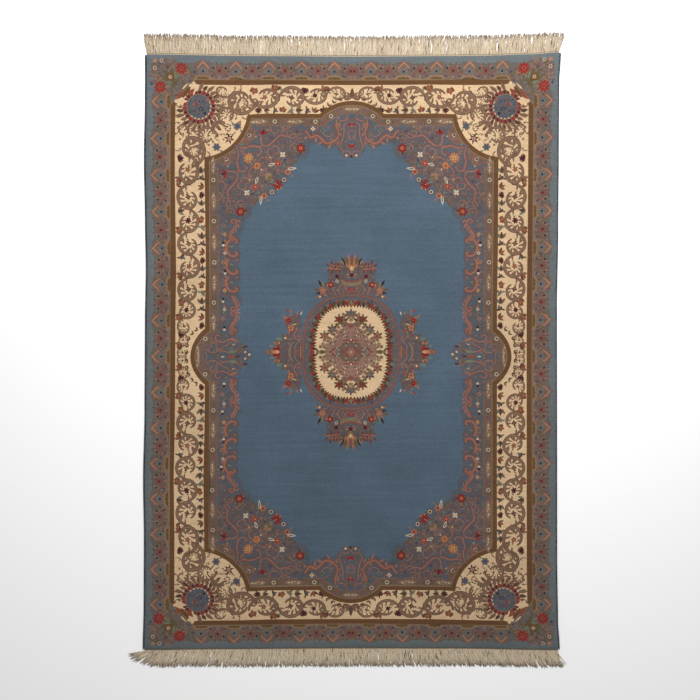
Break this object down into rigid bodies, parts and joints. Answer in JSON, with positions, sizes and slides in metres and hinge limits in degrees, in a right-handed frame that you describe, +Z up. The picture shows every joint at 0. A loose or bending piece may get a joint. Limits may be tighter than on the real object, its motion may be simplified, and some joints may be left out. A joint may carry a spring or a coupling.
{
  "type": "savonnerie rug",
  "caption": "Flat rectangular hand-knotted wool rug with a central medallion, bordered blue field and a cotton warp fringe along each short end.",
  "frame": {"origin": "centre of the carpet's underside, on the floor", "axes": "+X across the rug to the picture's right, +Y along its length to the picture's top, +Z up, out of the pile"},
  "size_m": [2.1201, 3.0489, 0.011],
  "materials": {
    "wool_pile": "cut wool pile, matt",
    "cord_wool": "wool overcasting, matt",
    "warp_cotton": "undyed twisted cotton, matt"
  },
  "bodies": {
    "root": {"knotted_carpet": "wool_pile", "side_cord_left": "cord_wool", "side_cord_right": "cord_wool", "fringe_top": "warp_cotton", "fringe_bottom": "warp_cotton"}
  },
  "joints": []
}
